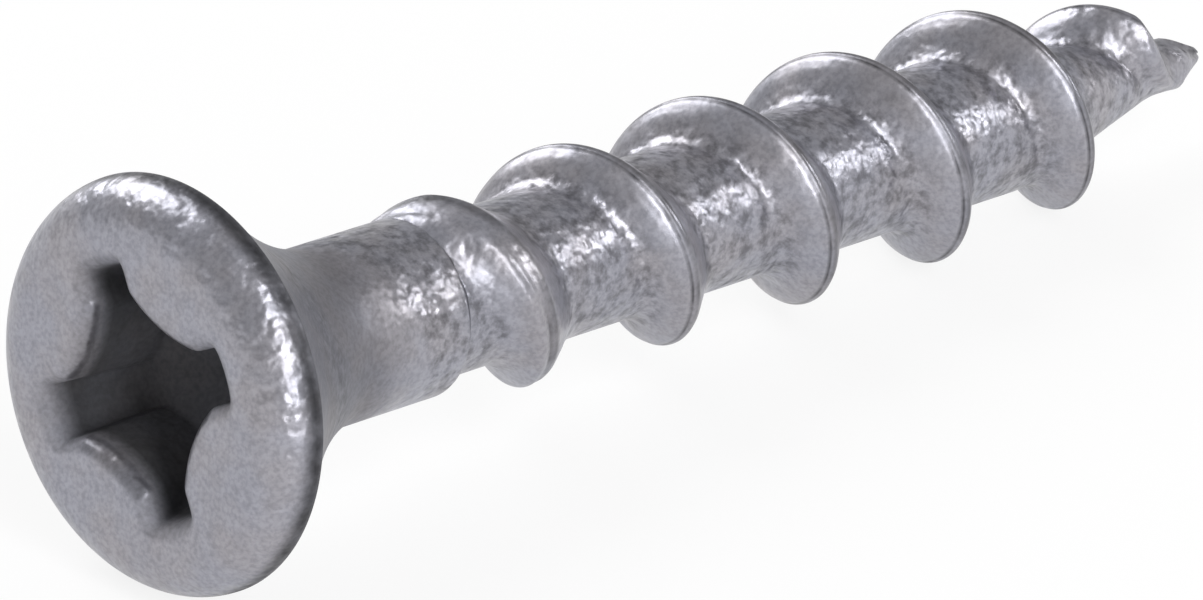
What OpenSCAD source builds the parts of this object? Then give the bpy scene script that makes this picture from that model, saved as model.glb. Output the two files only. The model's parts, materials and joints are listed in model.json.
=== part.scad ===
// Deck screw: one forged and rolled piece of steel with a dull zinc coating. It has a bugle
// head with a cross recess, a short plain shank, a coarse right-hand thread and a gimlet point.
// The screw is drawn upright, with the face of its head at z = 0 and the point upwards, and is
// then laid on its side. It rests on the rim of the head and on one crest of the thread, with
// the head towards -X, the point towards +X and the ground at z = 0.

/* [Head] */
// Diameter of the head at its widest
head_d = 8.6; // [8:0.1:9.4]
// Diameter of the flat face, inside the rounded rim
face_d = 6.8; // [6.2:0.1:7.6]
// Height of the rounded rim, from the face to the widest place
rim_h = 1.05; // [0.6:0.05:1.4]
// Distance from the face to the end of the flare under the head
head_len = 4.9; // [4.3:0.1:5.8]
// Curve of the flare: 1 is a straight cone, and more is hollower
flare_power = 1.52; // [1:0.02:2]

/* [Cross recess] */
// Distance across two opposite wings at the face
recess_span = 5.4; // [4.8:0.1:5.8]
// Width of a wing at the face
wing_w = 1.16; // [0.9:0.02:1.3]
// Distance between two opposite lobes, which stand between the wings
lobe_gap = 3.3; // [2.9:0.05:3.7]
// Radius of a lobe
lobe_r = 3; // [2:0.1:4]
// Depth of the wings
wing_depth = 2.2; // [1.6:0.1:2.6]
// Depth of the conical bottom below the wings
bottom_depth = 0.6; // [0.3:0.05:0.9]
// Slope of the recess walls, in degrees from the axis
recess_draft = 13; // [6:0.5:16]
// Angle from the start of the thread to a wing
recess_turn = 54.3; // [0:0.1:90]

/* [Shank] */
// Diameter of the plain shank
shank_d = 3.74; // [3.6:0.02:4.2]
// Distance from the face to the end of the full shank
shank_end = 7.55; // [6.8:0.05:8.2]
// Length of the chamfer that steps the shank down to the core
chamfer_len = 0.25; // [0.2:0.05:0.5]

/* [Thread] */
// Diameter of the core between the turns
core_d = 3.2; // [3.0:0.02:3.5]
// Advance of the thread in one turn
pitch = 4.03; // [3.63:0.02:4.43]
// Distance from the face to where the thread starts to rise
thread_start = 6.65; // [6.35:0.05:7.4]
// Length over which the thread rises from the core
run_in = 1.9; // [1.2:0.1:3]
// Diameter of the first crest
first_crest_d = 4.12; // [3.9:0.02:4.4]
// Diameter of the last full crest
last_crest_d = 5.06; // [4.6:0.02:5.4]
// How quickly the crest fills out: 1 is evenly, and more is sooner
growth_power = 2.9; // [1:0.1:4]
// Width of the flank on the side of the head
head_flank = 0.8; // [0.6:0.05:1.1]
// Hollow of that flank: 1 is a straight flank, and more is hollower
head_hollow = 1.3; // [1:0.1:2]
// Width of the flank on the side of the point
point_flank = 1.05; // [0.8:0.05:1.4]
// Hollow of that flank
point_hollow = 1.1; // [1:0.1:2]
// Width of the flat crest
crest_w = 0.14; // [0.1:0.01:0.3]
// Width of the first crest, which the dies leave unfilled
first_crest_w = 1.5; // [0.8:0.05:1.7]
// Depth of the seam along the middle of the first crest
seam_depth = 0.16; // [0:0.02:0.2]

/* [Point] */
// Overall length, from the face to the tip
length = 31.75; // [30:0.05:34]
// Length of the tapered point
point_len = 6.5; // [5.6:0.1:7.6]
// Curve of the point: 1 is a straight cone, and less is fuller
point_power = 0.98; // [0.7:0.02:1.1]
// Diameter of the short thick nose that the point ends in
nose_d = 1.14; // [0.9:0.02:1.3]
// Length over which the nose narrows to the tip
nose_len = 1; // [0.7:0.05:1.3]
// Diameter of the blunt tip
tip_d = 0.26; // [0.2:0.02:0.5]
// Distance from the tip to where the thread starts to fade
fade_start = 2.65; // [2.05:0.1:3.65]
// Distance from the tip to where the thread has died out
fade_end = 0.25; // [0.15:0.05:1]
// How quickly the thread fades: 1 is evenly, and more drops sooner
fade_power = 2.9; // [1.5:0.1:3.5]
// Distance from the tip to where the thread starts to climb more steeply
steep_start = 4.15; // [3.35:0.1:5.15]
// How far ahead of an even pitch the steeper thread gets at the tip
steep_gain = 1.1; // [0:0.1:1.4]

/* [Pose] */
// Angle about the axis from the ground to the start of the thread
roll = 9.2; // [0:0.1:359.9]

/* [Hidden] */

zinc = [0.56, 0.57, 0.60];
head_r = head_d / 2;
face_r = face_d / 2;
shank_r = shank_d / 2;
core_r = core_d / 2;
nose_r = nose_d / 2;
tip_r = tip_d / 2;

// Facets round the thread, of the head and shank, and of a whole lobe of the recess
thread_facets = 48;
round_facets = 96;
lobe_facets = 48;
// Points along the rounded rim and along the flare
rim_steps = 8;
flare_steps = 18;

// The end of the shank goes this far into the core, so that the two solids share a clean edge
bite = 0.15;
// The threaded solid starts inside the shank, this far before the thread starts to rise
sunk = 0.3;
// Room past a surface that a cut goes through
clear_cut = 0.5;

function unit(t) = max(0, min(1, t));
function mix(a, b, t) = a + (b - a) * t;

// Distance z is always measured along the axis from the face of the head.

// Radius of the flare, which is tangent to the shank
function flare_r(z) =
    mix(shank_r, head_r, pow(1 - (z - rim_h) / (head_len - rim_h), flare_power));

// Radius of the bare core, with the tapered point and its nose
function core_at(z) = max(
    mix(tip_r, core_r, pow(unit((length - z) / point_len), point_power)),
    mix(tip_r, nose_r, unit((length - z) / nose_len)));

// How far the thread has come from its first crest, as 0, to its last full crest, as 1
full_end = length - fade_start;
function grown(z) = unit((z - thread_start) / (full_end - thread_start));

// Radius that the crest has over an untapered core: it fills out quickly over the first turns
function crest_r(z) = mix(last_crest_d, first_crest_d, pow(1 - grown(z), growth_power)) / 2;

// Height of the crest above the core, with its run-in and its fade at the point
function rise(z) = unit((z - thread_start) / run_in);
function fade(z) = pow(unit((length - fade_end - z) / (fade_start - fade_end)), fade_power);
function thread_h(z) = (crest_r(z) - core_r) * rise(z) * fade(z);

// Share of the first crest's width and seam that is left: it is gone after one turn. Most of
// the extra width lies on the side of the head.
lean = 0.94;
function unfilled(z) = unit(1 - (z - thread_start) / pitch);
function extra_w(z) = (first_crest_w - crest_w) * unfilled(z);
function head_edge(z) = -crest_w / 2 - lean * extra_w(z);
function point_edge(z) = crest_w / 2 + (1 - lean) * extra_w(z);

// Section of the thread as [offset along the axis, share of the height] across one pitch,
// from the middle of one root up over the crest. The flanks are a little hollow at their feet.
flank_steps = 4;
function head_foot(z) = head_edge(z) - head_flank;
function point_foot(z) = point_edge(z) + point_flank;
function section(z) = concat(
    [[(head_foot(z) + point_foot(z) - pitch) / 2, 0]],
    [for (i = [0 : flank_steps]) let (t = i / flank_steps)
        [mix(head_foot(z), head_edge(z), t), pow(t, head_hollow)]],
    [[(head_edge(z) + point_edge(z)) / 2, 1]],
    [for (i = [0 : flank_steps]) let (t = i / flank_steps)
        [mix(point_edge(z), point_foot(z), t), pow(1 - t, point_hollow)]]);
section_points = 2 * flank_steps + 4;
seam_index = flank_steps + 2;

// Distance of the middle of the crest after a number of turns: the last turn is steeper
function crest_z(turn) =
    let (
        even = thread_start + pitch * turn,
        gone = (even - length + steep_start) / (steep_start - steep_gain)
    )
    even + steep_gain * pow(unit(gone), 2);

// The section is swept up the helix as a grid: a column for each facet round the axis, and a
// row for each point of each turn. What lies past an end of the solid is gathered on that end.
sweep_start = min(shank_end, thread_start) - sunk;
first_turn = floor((sweep_start - thread_start) / pitch) - 1;
last_turn = ceil((length - thread_start) / pitch) + 1;
turns = last_turn - first_turn;
rows = turns * section_points;

function sweep_point(column, row) =
    let (
        k = row % section_points,
        turn = first_turn + floor(row / section_points) + column / thread_facets,
        middle = crest_z(turn),
        part = section(middle)[k],
        z = max(sweep_start, min(length, middle + part[0])),
        seam = k == seam_index ? seam_depth * unfilled(z) * rise(z) : 0,
        r = core_at(z) + thread_h(z) * part[1] - seam,
        angle = 360 * column / thread_facets
    )
    [r * cos(angle), r * sin(angle), z];

module head_and_shank() {
    rim = [for (i = [0 : rim_steps]) let (a = 90 * i / rim_steps)
        [mix(face_r, head_r, sin(a)), rim_h * (1 - cos(a))]];
    flare = [for (i = [1 : flare_steps]) let (z = mix(rim_h, head_len, i / flare_steps))
        [flare_r(z), z]];
    step_r = core_r - bite;
    step_end = shank_end + chamfer_len * (shank_r - step_r) / (shank_r - core_r);
    rotate_extrude($fn = round_facets)
        polygon(concat([[0, 0]], rim, flare, [[shank_r, shank_end], [step_r, step_end], [0, step_end]]));
}

module threaded_end() {
    grid = [for (column = [0 : thread_facets - 1], row = [0 : rows - 1]) sweep_point(column, row)];
    // One turn round, a column meets the first one again, a whole section further up
    function id(column, row) = column < thread_facets
        ? column * rows + min(rows - 1, row)
        : min(rows - 1, row + section_points);
    function wall(a, b, c, d) = concat(
        grid[a] == grid[b] ? [] : [[a, b, c]],
        grid[c] == grid[d] ? [] : [[a, c, d]]);
    walls = [for (column = [0 : thread_facets - 1], row = [0 : rows - 2])
        each wall(id(column, row), id(column, row + 1), id(column + 1, row + 1), id(column + 1, row))];
    lower_end = [for (column = [0 : thread_facets - 1]) id(column, 0)];
    upper_end = [for (column = [thread_facets - 1 : -1 : 0]) id(column, rows - 1)];
    polyhedron(grid, concat(walls, [lower_end, upper_end]));
}

// Outline of the recess at the face: four straight wings, and round lobes between them
module recess_outline() {
    intersection() {
        circle(d = recess_span, $fn = round_facets);
        union() {
            square([recess_span, wing_w], center = true);
            square([wing_w, recess_span], center = true);
            difference() {
                square(recess_span, center = true);
                for (a = [45 : 90 : 315])
                    rotate(a) translate([lobe_gap / 2 + lobe_r, 0]) circle(lobe_r, $fn = lobe_facets);
            }
        }
    }
}

module cross_recess() {
    bottom_scale = 1 - wing_depth * tan(recess_draft) / (recess_span / 2);
    cone_r = bottom_scale * lobe_gap / 2;
    rotate(recess_turn) {
        linear_extrude(height = wing_depth, scale = bottom_scale) recess_outline();
        translate([0, 0, wing_depth - clear_cut / 10])
            cylinder(h = bottom_depth, r1 = cone_r, r2 = 0, $fn = round_facets);
    }
    translate([0, 0, -clear_cut]) cylinder(h = clear_cut, d = wing_w);
}

// The crests that face the ground, and the slope at which the head and the first of them touch
ground_turn = (360 - roll) / 360;
ground_crests = [for (n = [0 : last_turn]) crest_z(n + ground_turn)];
function touch_angle(z) = atan2(head_r - core_at(z) - thread_h(z), z - rim_h);
tilt = min([for (z = ground_crests) if (z < length) touch_angle(z)]);
lift = head_r * cos(tilt) + rim_h * sin(tilt);
rim_reach = norm([rim_h * cos(tilt), (head_r - face_r) * sin(tilt)]);
low_x = rim_h * cos(tilt) - face_r * sin(tilt) - rim_reach;
high_x = length * cos(tilt);

module deck_screw() {
    color(zinc)
        translate([-(low_x + high_x) / 2, 0, lift])
            rotate([0, 90 + tilt, 0])
                rotate([0, 0, roll])
                    difference() {
                        union() {
                            head_and_shank();
                            threaded_end();
                        }
                        cross_recess();
                    }
}

deck_screw();
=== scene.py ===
"""Looks of a zinc coated deck screw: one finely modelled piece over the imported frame."""

import json
import math

import bmesh
import bpy
import numpy as np
from mathutils import Matrix, Vector


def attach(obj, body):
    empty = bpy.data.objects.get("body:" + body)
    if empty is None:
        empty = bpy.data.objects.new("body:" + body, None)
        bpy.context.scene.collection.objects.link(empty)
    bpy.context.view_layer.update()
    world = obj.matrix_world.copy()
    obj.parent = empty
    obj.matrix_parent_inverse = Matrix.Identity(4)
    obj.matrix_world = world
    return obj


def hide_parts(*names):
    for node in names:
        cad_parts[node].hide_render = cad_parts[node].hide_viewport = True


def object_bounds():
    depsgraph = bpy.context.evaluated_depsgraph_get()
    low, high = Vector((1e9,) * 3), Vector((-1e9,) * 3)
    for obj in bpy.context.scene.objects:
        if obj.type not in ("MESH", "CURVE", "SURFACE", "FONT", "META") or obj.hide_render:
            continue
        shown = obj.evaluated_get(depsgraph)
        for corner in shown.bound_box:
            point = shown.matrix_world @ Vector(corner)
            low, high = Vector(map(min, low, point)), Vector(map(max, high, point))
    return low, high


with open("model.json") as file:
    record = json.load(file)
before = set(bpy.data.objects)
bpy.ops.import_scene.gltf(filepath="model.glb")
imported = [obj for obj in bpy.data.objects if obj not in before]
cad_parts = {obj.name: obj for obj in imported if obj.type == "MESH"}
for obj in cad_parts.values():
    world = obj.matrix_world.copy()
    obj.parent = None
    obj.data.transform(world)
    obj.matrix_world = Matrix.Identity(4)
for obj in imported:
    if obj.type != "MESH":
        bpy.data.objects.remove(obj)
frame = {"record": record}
cad_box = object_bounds()
HEAD_FACE = next(m for m in frame["record"]["mounts"] if m["name"] == "head_face")

# Sizes are in millimetres and angles in degrees, as a screw maker gives them. MM turns them
# into the frame's metres. Distance z runs along the axis from the face of the head.
MM = 0.001

# Head, with a rounded rim that is widest RIM_H behind the face
HEAD_R = 4.3
FACE_R = 3.2
RIM_H = 1.05
HEAD_LEN = 4.9
FLARE_POWER = 1.52

# Cross recess. LOBE_GAP is from the axis to a lobe, and LIP_BLEND is the way over which the lip
# turns at a corner.
RECESS_R = 2.7
WING_W = 1.16
LOBE_GAP = 1.65
LOBE_R = 3.0
WING_DEPTH = 2.2
BOTTOM_DEPTH = 0.6
RECESS_DRAFT = 13
RECESS_TURN = 54.3
CORNER_ROUNDING = 0.3
LIP_R = 0.32
LIP_BLEND = 0.45

# Shank
SHANK_R = 1.87
SHANK_END = 7.55
CHAMFER_LEN = 0.25

# Thread. Each flank is as wide as its name says, on the side of the head or of the point, and
# LEAN is the share of the first crest's extra width that lies on the side of the head.
CORE_R = 1.6
PITCH = 4.03
THREAD_START = 6.65
RUN_IN = 1.9
FIRST_CREST_R = 2.06
LAST_CREST_R = 2.53
GROWTH_POWER = 2.9
HEAD_FLANK = 0.72
POINT_FLANK = 1.0
CREST_W = 0.14
FIRST_CREST_W = 1.5
LEAN = 0.94
SEAM_DEPTH = 0.16
CREST_ROUNDING = 0.28
FOOT_ROUNDING = 0.42
# The foot of the thread meets the shank in a fillet of this width
SHANK_ROUNDING = 0.06
# Where the rolls closed the metal, a fine fold runs along the crest, and beside it a bead on the
# side of the head. They are this far from the crest's edge on the side of the point.
FOLD_AT, FOLD_W, FOLD_DEPTH = 0.18, 0.06, 0.01
BEAD_AT, BEAD_W, BEAD_RISE = 0.43, 0.32, 0.08
# The crest itself is painted darker from the fold on, as painted shade
EDGE_AT, EDGE_W, EDGE_SHADE_SHARE = 0.03, 0.17, 0.75
# These lines are whole where the thread is this high, and fade as it gets lower
LINES_FROM_H = 0.3
# Numbers of the turns that reach the thread's mesh
FIRST_TURN, LAST_TURN = -1, 8

# Point. The thread fades from FADE_START to FADE_END before the tip, and from STEEP_START on it
# runs ahead of an even pitch, by STEEP_GAIN in the end.
LENGTH = 31.75
POINT_LEN = 6.5
POINT_POWER = 0.98
NOSE_R = 0.57
NOSE_LEN = 1.0
NOSE_ROUNDING = 0.12
TIP_R = 0.13
TIP_LEN = 0.2
FADE_START = 2.65
FADE_END = 0.25
FADE_POWER = 2.9
STEEP_START = 4.15
STEEP_GAIN = 1.1

# Angle about the axis from the ground to the start of the thread
ROLL = 9.2

# Zinc: linear colours, cool and warm
ZINC = (0.366, 0.367, 0.416)
WARM = (0.376, 0.364, 0.394)
METAL = 0.75
ROUGH_LOW, ROUGH_HIGH = 0.29, 0.41
# Size and depth of the coating's dimples, of the finer pits between them, and of its grain
DIMPLE, DIMPLE_DEPTH = 0.45, 0.035
PIT, PIT_DEPTH = 0.29, 0.042
GRAIN, GRAIN_DEPTH = 0.12, 0.004
# How deep they are on the smooth face and flanks, and on the pitted rim, shank, roots and last
# turn. The walls of the recess are between the two, by this share.
SMOOTH, PITTED, RECESS_PITTED = 0.35, 1.2, 0.6
# Size of the speckles, blotches and tints, and how dark the first two are
SPECKLE, SPECKLE_DARK = 0.1, 0.82
BLOTCH, BLOTCH_DARK = 0.27, 0.5
TINT = 1.4
# The blotches are frayed, and this much of them is left on the flanks
BLOTCH_FRAY, BLOTCH_ON_FLANKS = 0.6, 0.2
# Levels of the noise between which speckles, blotches, tints and gloss change over
SPECKLE_LEVELS = 0.35, 0.6
BLOTCH_LEVELS = 0.58, 0.34
TINT_LEVELS = 0.4, 0.65
GLOSS_LEVELS = 0.35, 0.65
# Up to the first of these shares of the thread's height the ground is rolled, and over the second
# that fades out
ROLLED_TO, ROLLED_FADE = 0.1, 0.4
# The rim's pits start at a radius of RIM_FROM, grow over RIM_FADE, and end RIM_TO behind the face,
# over RIM_END_FADE. The last turn gets its pits over LAST_TURN_FADE.
RIM_FROM, RIM_FADE, RIM_TO, RIM_END_FADE = 3.1, 0.4, 1.0, 0.5
LAST_TURN_FADE = 1.2
# The recess is painted darker, as painted shade, over the first of these ways down its lip and
# wall, and its surface turns from metal to bare dull coating over the second
RECESS_SHADE, RECESS_BARE = 0.85, 0.32
# The lobes stay bright round their lips, LOBE_BRIGHT deeper than the wings, which start at a radius
# of WING_FROM and over a width of WING_FADE
LOBE_BRIGHT, WING_FROM, WING_FADE = 0.36, 1.95, 0.3
# Deep down, the painted shade of the recess gets a little lighter again, by this share over this
# way
DEEP_LIGHT, DEEP_FADE = 0.18, 1.2
# The darkest tone of the recess's painted shade, and the metal and roughness of its bare coating
RECESS_SHADE_TONE, RECESS_METAL, RECESS_ROUGH = 0.13, 0.1, 0.9
# The fold of the crest, the edge of the rim and the end of the shank hold a dark line, which is
# painted shade
LINE_SHADE_TONE = 0.22
# The rim's dark line of painted shade: how far behind the face it lies, and its width
RIM_LINE_AT, RIM_LINE_W = 0.9, 0.34
STEP_LINE_W = 0.05
# Along their way the lines fade and come back at this size, down to this share
LINE_BREAK, LINE_LEFT = 0.54, 0.5
BREAK_LEVELS = 0.35, 0.6
# The flare is painted darker as painted shade, and is dull, from this distance behind the face. On
# the shank, which is dull further than it is painted dark, both fade over SHANK_FADE, from these
# distances before its end.
FLARE_SHADE_TONE, FLARE_ROUGH = 0.58, 0.5
DULL_FROM, DULL_RISE = 0.5, 0.45
DULL_TO, DARK_TO, SHANK_FADE = 2.4, 3.0, 1.8

# Mesh: columns round the axis, and rows along each stretch
COLUMNS = 240
# The recess: its bottom, from and to these shares of its width, its wall, its lip from the first
# of these slopes to the second, and the flat face round it
BOTTOM_ROWS = 0.12, 0.94, 8
WALL_ROWS = 16
LIP_ROWS = 12, 90, 8
FACE_ROWS = 13
# The outline of the recess is found along so many rays, and then takes so many even points
OUTLINE_RAYS, OUTLINE_POINTS = 3600, 2400
# The rim, the flare, the shank, and the end of the shank, where the rows get closer
RIM_ROWS, FLARE_ROWS, SHANK_ROWS, STEP_ROWS = 20, 44, 25, 17
STEP_FROM = SHANK_END - 0.2
# Where the sweep of the thread takes over
Z_JOIN = SHANK_END + CHAMFER_LEN + 0.15
# The thread's rows are close this far before and after the crest, and on both sides of a foot
BEFORE_CREST, AFTER_CREST, NEAR_FOOT = 0.42, 0.12, 0.18
# Over this length they crowd together towards the tip, by this power
TIP_CROWD, TIP_CROWD_POWER = 0.6, 1.8
# Points this close together become one, and edges this short are taken out
WELD, SLIVER = 0.0002, 0.0001

# Camera: a long lens that looks down on the screw from beyond its head
VIEW_AZIMUTH = -45.6
VIEW_ELEVATION = 25.1
VIEW_DISTANCE = 207.2
LENS = 315.4
SENSOR = 36.0
# The face's centre lies this far left of and below the middle of the picture, at its own depth
FACE_LEFT = 9.23
FACE_BELOW = 1.905
# Nearest and furthest that the camera sees, in metres
CLIP = 0.01, 10.0

# Lights: direction from the screw, direction of the long side, length and width in metres,
# and radiance in linear units
LIGHT_DISTANCE = 0.5
LIGHTS = {
    "above": ((0.054, 0.775, 0.629), (-0.542, -0.472, 0.675), (0.50, 0.22), 5.0),
    "front": ((-0.304, -0.851, 0.429), (0.418, 0.308, 0.906), (0.58, 0.12), 9.0),
    "side": ((0.736, -0.575, 0.358), (0.0, 0.0, 1.0), (0.13, 0.10), 12.0),
}
# The room is brighter at the horizon than from that height on, as the sine of its elevation
ROOM_HORIZON, ROOM_HIGH, ROOM_TOP = 0.75, 0.38, 0.35
# Floor: half its width in metres, its grey and its roughness, and the share of plain white in it
# as the camera and the zinc see it: the rest carries the shadow
FLOOR_HALF = 1.5
FLOOR_GREY, FLOOR_ROUGH = 0.9, 0.9
FLOOR_WHITE = 0.85


def unit(t):
    return np.clip(t, 0.0, 1.0)


def mix(a, b, t):
    return a + (b - a) * t


def smooth(t):
    return t * t * (3 - 2 * t)


def rise(x, start, width):
    """0 up to the start and 1 from that width on, with a smooth change-over."""
    return smooth(unit((x - start) / width))


def near(x, at, width):
    """1 at one value, and 0 from that width on either side of it."""
    return smooth(unit(1 - np.abs(x - at) / width))


def soft_max(a, b, width):
    """The larger of two values, with a rounded change-over of about that width."""
    t = unit(0.5 + 0.5 * (a - b) / width)
    return mix(b, a, t) + width * t * (1 - t) / 2


def core_at(z):
    """Radius of the core, which tapers to the point and ends in a thick nose with a round tip."""
    taper = mix(TIP_R, CORE_R, unit((LENGTH - z) / POINT_LEN) ** POINT_POWER)
    nose = mix(TIP_R, NOSE_R, unit((LENGTH - z) / NOSE_LEN))
    taper = soft_max(taper, nose, NOSE_ROUNDING)
    tip = unit((LENGTH - z) / TIP_LEN)
    return taper * np.sqrt(1 - (1 - tip) ** 2)


def crest_r(z):
    """Radius that the crest has over an untapered core."""
    full_end = LENGTH - FADE_START
    grown = unit((z - THREAD_START) / (full_end - THREAD_START))
    return mix(LAST_CREST_R, FIRST_CREST_R, (1 - grown) ** GROWTH_POWER)


def run_in(z):
    """Share of the thread's height that it has reached after its start."""
    return unit((z - THREAD_START) / RUN_IN)


def thread_h(z):
    """Height of the crest over the core, with its run-in and its fade at the point."""
    fade = unit((LENGTH - FADE_END - z) / (FADE_START - FADE_END)) ** FADE_POWER
    return (crest_r(z) - CORE_R) * run_in(z) * fade


def unfilled(z):
    """Share of the first crest's extra width and seam that is left: it is gone after one turn."""
    return unit(1 - (z - THREAD_START) / PITCH)


def head_edge(z):
    """Offset of the crest's edge on the side of the head from the middle of the crest."""
    return -CREST_W / 2 - LEAN * (FIRST_CREST_W - CREST_W) * unfilled(z)


def point_edge(z):
    """Offset of the crest's edge on the side of the point."""
    return CREST_W / 2 + (1 - LEAN) * (FIRST_CREST_W - CREST_W) * unfilled(z)


def crest_z(turn):
    """Distance of the middle of the crest after a number of turns: the last turn is steeper."""
    even = THREAD_START + PITCH * turn
    gone = unit((even - LENGTH + STEEP_START) / (STEEP_START - STEEP_GAIN))
    return even + STEEP_GAIN * gone ** 2


def thread_share(offset, middle):
    """Share of the thread's height at an offset along the axis from the middle of the crest."""
    up = (offset - head_edge(middle)) / HEAD_FLANK + 1
    down = 1 - (offset - point_edge(middle)) / POINT_FLANK
    lower = -soft_max(-up, -down, CREST_ROUNDING)
    flat = -soft_max(-lower, -np.ones_like(lower), CREST_ROUNDING)
    return soft_max(flat, np.zeros_like(flat), FOOT_ROUNDING)


def seam(offset, middle, z):
    """Depth of the seam along the middle of the first crest, which the rolls left unfilled."""
    width = (point_edge(middle) - head_edge(middle)) / 2
    centre = (point_edge(middle) + head_edge(middle)) / 2
    return SEAM_DEPTH * unfilled(z) * run_in(z) * near(offset, centre, width)


def thread_at(z, angle):
    """The thread at a distance z and an angle from its start.

    This is its share of the full height, the depth of its seam, and how close the fold, the bead
    and the edge along the crest that is painted in shade are, from 0 to 1.
    """
    part = angle / 360.0
    share = np.zeros_like(z * part)
    groove, fold, bead, edge = (np.zeros_like(share) for _ in range(4))
    for turn in range(FIRST_TURN - 1, LAST_TURN + 1):
        middle = crest_z(turn + part)
        offset = z - middle
        end = point_edge(middle)
        here = thread_share(offset, middle)
        groove = np.where(here > share, seam(offset, middle, z), groove)
        fold = np.maximum(fold, near(offset, end - FOLD_AT, FOLD_W))
        bead = np.maximum(bead, near(offset, end - BEAD_AT, BEAD_W))
        edge = np.maximum(edge, near(offset, end - EDGE_AT, EDGE_W))
        share = np.maximum(share, here)
    full = unit(thread_h(z) / LINES_FROM_H)
    return share, groove, fold * full, bead * full, edge * full


def threaded_r(z, angle):
    """Radius of the core with its thread."""
    share, groove, fold, bead, _ = thread_at(z, angle)
    return core_at(z) + thread_h(z) * share - groove - FOLD_DEPTH * fold + BEAD_RISE * bead


def flare_r(z):
    """Radius of the flare, which is tangent to the shank."""
    t = unit((z - RIM_H) / (HEAD_LEN - RIM_H))
    return mix(SHANK_R, HEAD_R, (1 - t) ** FLARE_POWER)


def plain_r(z):
    """Radius of the flare and the shank, down the step at its end."""
    return flare_r(z) - (SHANK_R - CORE_R) / CHAMFER_LEN * np.maximum(0, z - SHANK_END)


def body_r(z, angle):
    """Radius of the whole screw past the rim."""
    plain = plain_r(z)
    thread = threaded_r(z, angle)
    return np.where(z > HEAD_LEN, soft_max(plain, thread, SHANK_ROUNDING), plain)


def recess_outline(count):
    """Even points and outward normals round the recess at the face, from a wing's middle."""
    way = np.linspace(0, 2 * math.pi, OUTLINE_RAYS, endpoint=False)
    c, d = np.abs(np.cos(way)), np.abs(np.sin(way))
    # Along each ray, the distance to the side of a wing. The ray along a wing never meets it.
    never = 1e-6
    wing = WING_W / 2 / np.maximum(np.minimum(c, d), never)
    # Distance to the round lobe between two wings. A ray that misses it is in a wing.
    lobe = (LOBE_GAP + LOBE_R) / math.sqrt(2)
    along = lobe * (c + d)
    root = along ** 2 - 2 * lobe ** 2 + LOBE_R ** 2
    edge = np.where(root > 0, along - np.sqrt(np.maximum(root, 0)), np.inf)
    reach = np.minimum(RECESS_R, np.maximum(edge, wing))
    loop = np.stack([reach * np.cos(way), reach * np.sin(way)], 1)
    xy = evenly(loop, OUTLINE_POINTS)
    # The mean rounds every corner
    xy = running_mean(xy, CORNER_ROUNDING / np.linalg.norm(xy[1] - xy[0]))
    xy = evenly(xy, count)
    along = np.roll(xy, -1, 0) - np.roll(xy, 1, 0)
    normal = np.stack([along[:, 1], -along[:, 0]], 1)
    normal /= np.linalg.norm(normal, axis=1)[:, None]
    # The normals turn gently, so that the lip doesn't cross itself at a corner
    return xy, running_mean(normal, LIP_BLEND / np.linalg.norm(xy[1] - xy[0]))


def running_mean(loop, width):
    """Mean of a closed loop of values over a window of about that many of them."""
    half = max(1, round(width / 2))
    # Without the two zeros at the ends of the window
    window = np.hanning(2 * half + 3)[1:-1]
    return sum(w * np.roll(loop, k - half, 0) for k, w in enumerate(window)) / window.sum()


def evenly(loop, count):
    """Evenly spaced points along a closed loop, from its first point."""
    ring = np.vstack([loop, loop[:1]])
    run = np.concatenate([[0], np.cumsum(np.linalg.norm(np.diff(ring, axis=0), axis=1))])
    at = np.linspace(0, run[-1], count, endpoint=False)
    return np.stack([np.interp(at, run, ring[:, 0]), np.interp(at, run, ring[:, 1])], 1)


def recess_rows():
    """The deepest point of the recess, and its rings from there to just inside the rim."""
    xy, normal = recess_outline(COLUMNS)
    scale = 1 - WING_DEPTH * math.tan(math.radians(RECESS_DRAFT)) / RECESS_R
    cone_r = scale * LOBE_GAP
    rings = []

    def ring(flat, depth):
        rings.append(np.column_stack([flat, np.broadcast_to(depth, COLUMNS)]))

    def wall(depth):
        return xy * mix(1, scale, depth / WING_DEPTH)

    for t in np.linspace(*BOTTOM_ROWS):
        flat = xy * scale * t
        reach = np.linalg.norm(flat, axis=1)
        ring(flat, WING_DEPTH + BOTTOM_DEPTH * unit(1 - reach / cone_r))
    for depth in np.linspace(WING_DEPTH, LIP_R, WALL_ROWS):
        ring(wall(depth), depth)
    for a in np.radians(np.linspace(*LIP_ROWS)):
        depth = LIP_R * (1 - math.sin(a))
        ring(wall(depth) + normal * LIP_R * (1 - math.cos(a)), depth)
    lip = xy + normal * LIP_R
    angles = 2 * math.pi * np.arange(COLUMNS) / COLUMNS
    edge = FACE_R * np.stack([np.cos(angles), np.sin(angles)], 1)
    for t in np.linspace(0, 1, FACE_ROWS + 1)[1:]:
        ring(mix(lip, edge, t), 0.0)
    turn = math.radians(RECESS_TURN)
    c, s = math.cos(turn), math.sin(turn)
    spin = np.array([[c, s, 0], [-s, c, 0], [0, 0, 1]])
    apex = np.array([0, 0, WING_DEPTH + BOTTOM_DEPTH])
    return apex, [r @ spin for r in rings]


def column_angles():
    """Angles of the columns from the thread's start. They begin in the middle of a wing."""
    return RECESS_TURN + 360.0 * np.arange(COLUMNS) / COLUMNS


def round_axis(r, z):
    """Points at these radii and distances, one for each column."""
    way = np.radians(column_angles())
    return np.stack([r * np.cos(way), r * np.sin(way), z], -1)


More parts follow.
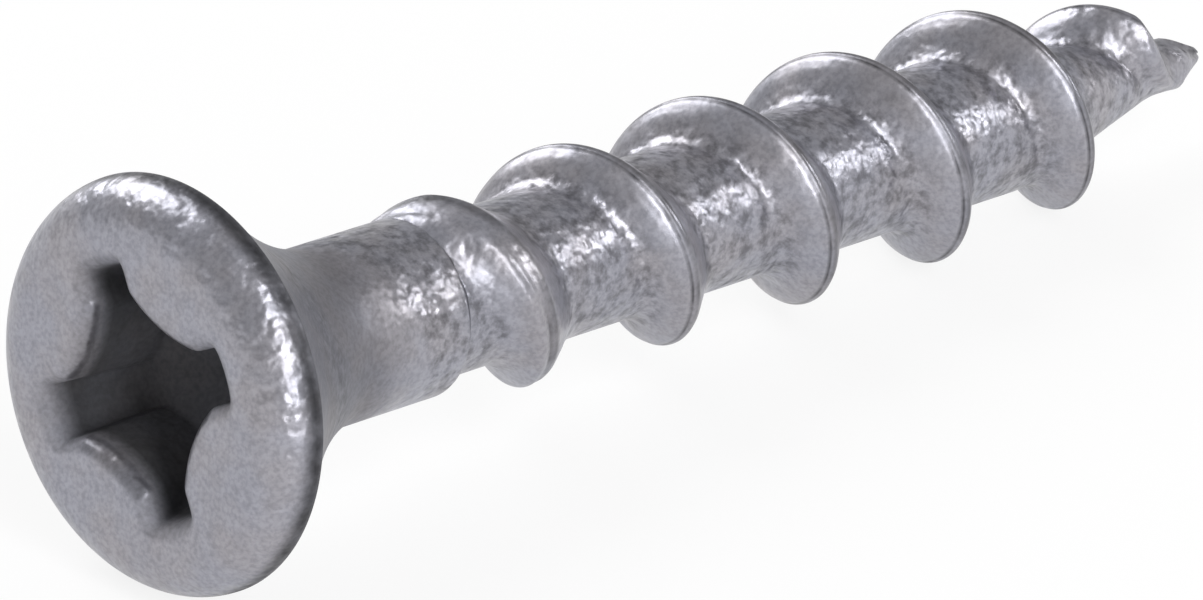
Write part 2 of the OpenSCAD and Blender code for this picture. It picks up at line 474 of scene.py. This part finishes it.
def plain_rows():
    """Rings of the rim, flare and shank, up to where the sweep of the thread takes over."""
    rings = []
    for a in np.linspace(0, math.pi / 2, RIM_ROWS + 2)[1:-1]:
        z = np.full(COLUMNS, RIM_H * (1 - math.cos(a)))
        rings.append(round_axis(mix(FACE_R, HEAD_R, math.sin(a)), z))
    stops = np.concatenate([
        np.linspace(RIM_H, HEAD_LEN, FLARE_ROWS),
        np.linspace(HEAD_LEN, STEP_FROM, SHANK_ROWS + 1)[1:],
        np.linspace(STEP_FROM, Z_JOIN, STEP_ROWS + 1)[1:],
    ])
    for stop in stops:
        z = np.full(COLUMNS, stop)
        rings.append(round_axis(body_r(z, column_angles()), z))
    return rings


def section_offsets(middle):
    """Offsets of one turn's rows from the middle of its crest, closer together at the crest."""
    head, point = head_edge(middle), point_edge(middle)
    head_foot, point_foot = head - HEAD_FLANK, point + POINT_FLANK
    # From root to root: where each stretch starts, and its number of rows
    stops = [
        (point_foot + NEAR_FOOT - PITCH, 6),
        (head_foot - NEAR_FOOT, 6),
        (head_foot + NEAR_FOOT, 1),
        (head - BEFORE_CREST, 12),
        (head, 5),
        (point, 3),
        (point + AFTER_CREST, 5),
        (point_foot - NEAR_FOOT, 4),
        (point_foot + NEAR_FOOT, 0),
    ]
    return [mix(a, b, i / n) for (a, n), (b, _) in zip(stops, stops[1:]) for i in range(n)]


def sweep_grid():
    """The threaded end as a grid of rows that follow the helix, and the number of rows in a turn.

    What lies before the join or past the tip is gathered there, so those rows fall together.
    """
    angles = column_angles()
    rows = []
    for turn in range(FIRST_TURN, LAST_TURN):
        middle = crest_z(turn + angles / 360.0)
        rows.extend(middle + offset for offset in section_offsets(middle))
    # No row passes the one after it
    z = np.clip(np.maximum.accumulate(np.array(rows), axis=0), Z_JOIN, LENGTH)
    # Rows crowd together towards the rounded tip
    late = unit((z - LENGTH + TIP_CROWD) / TIP_CROWD)
    z = np.where(late > 0, LENGTH - TIP_CROWD * (1 - late) ** TIP_CROWD_POWER, z)
    return round_axis(body_r(z, angles), z), len(rows) // (LAST_TURN - FIRST_TURN)


def placed(points):
    """From the screw's own frame to the row frame, in metres."""
    axis = -Vector(HEAD_FACE["axis"])
    down = Vector((0, 0, -1))
    down = (down - axis * down.dot(axis)).normalized()
    side = axis.cross(down)
    roll = math.radians(ROLL)
    along_x = down * math.cos(roll) + side * math.sin(roll)
    along_y = axis.cross(along_x)
    turn = np.array([along_x, along_y, axis])
    return points * MM @ turn + np.array(HEAD_FACE["pos_m"])


def build_screw():
    """One closed mesh of the whole screw."""
    apex, rings = recess_rows()
    recess_count = 1 + len(rings) * COLUMNS
    rings += plain_rows()
    grid, per_turn = sweep_grid()
    plain = np.vstack([apex[None], *rings])
    points = np.vstack([plain, grid.reshape(-1, 3)])
    n = COLUMNS
    faces = [(0, 1 + i, 1 + (i + 1) % n) for i in range(n)]
    for row in range(len(rings) - 1):
        a = 1 + row * n
        for i in range(n):
            j = (i + 1) % n
            faces.append((a + i, a + n + i, a + n + j, a + j))
    base = len(plain)
    for row in range(len(grid) - 1):
        for i in range(n):
            a = base + row * n + i
            if i + 1 < n:
                b = a + 1
            elif row + 1 + per_turn < len(grid):
                # One turn round, the last column meets the first one a whole turn further up
                b = base + (row + per_turn) * n
            else:
                continue
            faces.append((a, a + n, b + n, b))
    mesh = bpy.data.meshes.new("screw")
    mesh.from_pydata(placed(points).tolist(), [], faces)
    for name, value in marks(points, recess_count).items():
        mesh.attributes.new(name, "FLOAT", "POINT").data.foreach_set("value", value)
    weld(mesh)
    return mesh


def marks(points, recess_count):
    """What the material follows at each point of the mesh, each from 0 to 1."""
    z = points[:, 2]
    reach = np.linalg.norm(points[:, :2], axis=1)
    angle = np.degrees(np.arctan2(points[:, 1], points[:, 0])) % 360.0
    inside = (reach < RECESS_R + LIP_R) & (np.arange(len(points)) < recess_count)

    # The recess: the way down its lip and wall
    sunk = LIP_R * np.arccos(1 - unit(z / LIP_R)) + np.maximum(0, z - LIP_R)
    # Painted shade: the recess darkens along the way down, and a little less deep down
    shade = unit(sunk / RECESS_SHADE) - DEEP_LIGHT * unit((sunk - RECESS_SHADE) / DEEP_FADE)
    at_lobe = 1 - rise(reach, WING_FROM, WING_FADE)
    bare = rise(sunk, LOBE_BRIGHT * at_lobe, RECESS_BARE)

    # The dark lines of painted shade: the edge of the rim, the fold and crest, and the step at the
    # shank's end
    share, _, fold, _, edge = thread_at(z, angle)
    corner = near(z, RIM_LINE_AT, RIM_LINE_W) * ~inside
    step = near(plain_r(z), threaded_r(z, angle), STEP_LINE_W) * (z < Z_JOIN)
    crest = np.maximum(fold, EDGE_SHADE_SHARE * edge)

    # The pitted ground: the shank and roots, the rim, the first turn and the last one
    rolled = (1 - rise(share, ROLLED_TO, ROLLED_FADE)) * rise(z, RIM_H, HEAD_LEN - RIM_H)
    rim = rise(reach, RIM_FROM, RIM_FADE) * (1 - rise(z, RIM_TO, RIM_END_FADE))
    first = unfilled(z) * (z > HEAD_LEN)
    last = rise(z, LENGTH - STEEP_START, LAST_TURN_FADE)
    pitted = np.maximum(np.maximum(rolled, rim), first + last)

    dull = rise(z, DULL_FROM, DULL_RISE) * ~inside
    return {
        # Painted shade in the recess
        "recess": shade * inside,
        "bare": bare * inside,
        # Painted shade lines: round the rim's edge, in the crest's fold and on its edge, and at the
        # shank's step
        "line": np.where(z < HEAD_LEN, corner, np.maximum(crest, step)),
        "rolled": rolled * ~inside,
        "pitted": np.where(inside, RECESS_PITTED, pitted),
        "dull": dull * (1 - rise(z, SHANK_END - DULL_TO, SHANK_FADE)),
        # Painted shade on the flare and the start of the shank
        "dark": dull * (1 - rise(z, SHANK_END - DARK_TO, SHANK_FADE)),
    }


def weld(mesh):
    """Welds the gathered rows and the rings that meet, and turns all faces outwards."""
    bm = bmesh.new()
    bm.from_mesh(mesh)
    bmesh.ops.remove_doubles(bm, verts=bm.verts, dist=WELD * MM)
    bmesh.ops.dissolve_degenerate(bm, edges=bm.edges, dist=SLIVER * MM)
    bmesh.ops.recalc_face_normals(bm, faces=bm.faces)
    for f in bm.faces:
        f.smooth = True
    bm.to_mesh(mesh)
    bm.free()


def ramp(tree, value, low, high, out_low, out_high):
    """A node that turns low into out_low and high into out_high, and holds them beyond."""
    node = tree.nodes.new("ShaderNodeMapRange")
    ends = {"From Min": low, "From Max": high, "To Min": out_low, "To Max": out_high}
    for name, end in ends.items():
        node.inputs[name].default_value = end
    tree.links.new(value, node.inputs["Value"])
    return node


def maths(tree, operation, x, y):
    """One step of arithmetic with an output and either another output or a number."""
    node = tree.nodes.new("ShaderNodeMath")
    node.operation = operation
    tree.links.new(x, node.inputs[0])
    if isinstance(y, float):
        node.inputs[1].default_value = y
    else:
        tree.links.new(y, node.inputs[1])
    return node.outputs[0]


def new_material(name):
    mat = bpy.data.materials.new(name)
    mat.use_nodes = True
    return mat, mat.node_tree, mat.node_tree.nodes["Principled BSDF"]


def zinc_material():
    """Dull zinc: soft dimples that break up every highlight, blotches, and painted shade."""
    mat, tree, shader = new_material("zinc_coating")
    nodes, links = tree.nodes, tree.links
    where = nodes.new("ShaderNodeTexCoord")

    def noise_of(size, detail, fray=0.5):
        node = nodes.new("ShaderNodeTexNoise")
        node.inputs["Scale"].default_value = 1 / (size * MM)
        node.inputs["Detail"].default_value = detail
        node.inputs["Roughness"].default_value = fray
        links.new(where.outputs["Object"], node.inputs["Vector"])
        return node.outputs["Fac"]

    def mark(name):
        node = nodes.new("ShaderNodeAttribute")
        node.attribute_name = name
        return node.outputs["Fac"]

    def between(value, levels, out_low=0.0, out_high=1.0):
        return ramp(tree, value, *levels, out_low, out_high).outputs["Result"]

    def by_share(share, none, whole):
        """The first number where the share is 0, and the second where it is 1."""
        return between(share, (0.0, 1.0), none, whole)

    def times(x, y):
        return maths(tree, "MULTIPLY", x, y)

    def at_least(x, y):
        return maths(tree, "MAXIMUM", x, y)

    pitted, bare = mark("pitted"), mark("bare")

    def bump(height, depth, normal=None):
        """Relief of that depth in millimetres, over the relief of the last one."""
        node = nodes.new("ShaderNodeBump")
        node.inputs["Strength"].default_value = 1.0
        reach = by_share(pitted, SMOOTH * depth * MM, PITTED * depth * MM)
        links.new(reach, node.inputs["Distance"])
        links.new(height, node.inputs["Height"])
        if normal:
            links.new(normal, node.inputs["Normal"])
        return node.outputs["Normal"]

    speckle = between(noise_of(SPECKLE, 2), SPECKLE_LEVELS, SPECKLE_DARK, 1.0)
    blotch = times(between(noise_of(BLOTCH, 3, BLOTCH_FRAY), BLOTCH_LEVELS),
                   by_share(mark("rolled"), BLOTCH_ON_FLANKS, 1.0))
    line = times(mark("line"), between(noise_of(LINE_BREAK, 2), BREAK_LEVELS, LINE_LEFT, 1.0))
    tone = times(speckle, by_share(blotch, 1.0, BLOTCH_DARK))
    # Painted shade: dark lines in the crest's fold and along its edge, round the rim and at the
    # shank's step
    tone = times(tone, by_share(line, 1.0, LINE_SHADE_TONE))
    # Painted shade: the recess darkens with depth
    tone = times(tone, by_share(mark("recess"), 1.0, RECESS_SHADE_TONE))
    # Painted shade: the flare and the start of the shank are darker
    tone = times(tone, by_share(mark("dark"), 1.0, FLARE_SHADE_TONE))
    hue = nodes.new("ShaderNodeMix")
    hue.data_type = "RGBA"
    links.new(between(noise_of(TINT, 2), TINT_LEVELS), hue.inputs["Factor"])
    hue.inputs["A"].default_value = (*ZINC, 1)
    hue.inputs["B"].default_value = (*WARM, 1)
    colour = nodes.new("ShaderNodeVectorMath")
    colour.operation = "SCALE"
    links.new(hue.outputs["Result"], colour.inputs[0])
    links.new(tone, colour.inputs["Scale"])
    links.new(colour.outputs["Vector"], shader.inputs["Base Color"])
    links.new(by_share(bare, METAL, RECESS_METAL), shader.inputs["Metallic"])
    rough = between(noise_of(DIMPLE, 2), GLOSS_LEVELS, ROUGH_LOW, ROUGH_HIGH)
    rough = at_least(rough, by_share(mark("dull"), 0.0, FLARE_ROUGH))
    rough = at_least(rough, by_share(bare, 0.0, RECESS_ROUGH))
    links.new(rough, shader.inputs["Roughness"])

    normal = bump(noise_of(DIMPLE, 1), DIMPLE_DEPTH)
    normal = bump(noise_of(PIT, 1), PIT_DEPTH, normal)
    links.new(bump(noise_of(GRAIN, 1), GRAIN_DEPTH, normal), shader.inputs["Normal"])
    return mat


def add_camera():
    a, e = math.radians(VIEW_AZIMUTH), math.radians(VIEW_ELEVATION)
    forward = Vector((-math.sin(a) * math.cos(e), math.cos(a) * math.cos(e), -math.sin(e)))
    right = Vector((math.cos(a), math.sin(a), 0))
    up = right.cross(forward)
    from_face = right * FACE_LEFT + up * FACE_BELOW - forward * VIEW_DISTANCE
    place = Vector(HEAD_FACE["pos_m"]) + from_face * MM
    data = bpy.data.cameras.new("camera")
    data.sensor_width = SENSOR
    data.lens = LENS
    data.clip_start, data.clip_end = CLIP
    camera = bpy.data.objects.new("camera", data)
    camera.matrix_world = looking(place, right, up, -forward)
    bpy.context.scene.collection.objects.link(camera)
    bpy.context.scene.camera = camera


def looking(place, right, up, back):
    """The matrix of a camera or lamp at that place, which faces away from back."""
    return Matrix.Translation(place) @ Matrix((right, up, back)).transposed().to_4x4()


def add_area(name, direction, along, size, level, target):
    """A soft box. Its power is what gives every point of it that radiance."""
    data = bpy.data.lights.new(name, "AREA")
    data.shape = "RECTANGLE"
    data.size, data.size_y = size
    data.energy = level * math.pi * size[0] * size[1]
    lamp = bpy.data.objects.new(name, data)
    back = Vector(direction).normalized()
    side = Vector(along)
    side = (side - back * side.dot(back)).normalized()
    lamp.matrix_world = looking(target + back * LIGHT_DISTANCE, side, back.cross(side), back)
    bpy.context.scene.collection.objects.link(lamp)


def add_floor():
    """A pale floor that looks almost white and still carries the shadow."""
    mesh = bpy.data.meshes.new("floor")
    corners = [(x * FLOOR_HALF, y * FLOOR_HALF, 0) for x, y in ((-1, -1), (1, -1), (1, 1), (-1, 1))]
    mesh.from_pydata(corners, [], [(0, 1, 2, 3)])
    floor = bpy.data.objects.new("floor", mesh)
    bpy.context.scene.collection.objects.link(floor)
    mat, tree, shader = new_material("floor")
    nodes, links = tree.nodes, tree.links
    shader.inputs["Base Color"].default_value = (FLOOR_GREY, FLOOR_GREY, FLOOR_GREY, 1)
    shader.inputs["Roughness"].default_value = FLOOR_ROUGH
    shader.inputs["Specular IOR Level"].default_value = 0.0
    rays = nodes.new("ShaderNodeLightPath").outputs
    seen = maths(tree, "MAXIMUM", rays["Is Camera Ray"], rays["Is Glossy Ray"])
    share = maths(tree, "MULTIPLY", seen, FLOOR_WHITE)
    white = nodes.new("ShaderNodeEmission")
    blend = nodes.new("ShaderNodeMixShader")
    links.new(share, blend.inputs[0])
    links.new(shader.outputs[0], blend.inputs[1])
    links.new(white.outputs[0], blend.inputs[2])
    links.new(blend.outputs[0], nodes["Material Output"].inputs["Surface"])
    mesh.materials.append(mat)


def set_world():
    """White to the camera, and to the screw a room that is brighter at the horizon."""
    world = bpy.data.worlds.new("world")
    bpy.context.scene.world = world
    world.use_nodes = True
    tree = world.node_tree
    nodes, links = tree.nodes, tree.links
    back = nodes["Background"]
    back.inputs["Color"].default_value = (1, 1, 1, 1)
    parts = nodes.new("ShaderNodeSeparateXYZ")
    way = nodes.new("ShaderNodeTexCoord").outputs["Generated"]
    links.new(way, parts.inputs["Vector"])
    room = ramp(tree, parts.outputs["Z"], 0.0, ROOM_TOP, ROOM_HORIZON, ROOM_HIGH)
    camera_ray = nodes.new("ShaderNodeLightPath").outputs["Is Camera Ray"]
    level = ramp(tree, camera_ray, 0.0, 1.0, 0.0, 1.0)
    links.new(room.outputs["Result"], level.inputs["To Min"])
    links.new(level.outputs["Result"], back.inputs["Strength"])


screw = bpy.data.objects.new("zinc_screw", build_screw())
bpy.context.scene.collection.objects.link(screw)
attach(screw, "root")
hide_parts("deck_screw")
screw.data.materials.append(zinc_material())

add_camera()
middle = (cad_box[0] + cad_box[1]) / 2
for name, (direction, along, size, level) in LIGHTS.items():
    add_area(name, direction, along, size, level, middle)
add_floor()
set_world()
bpy.context.scene.view_settings.view_transform = "Standard"
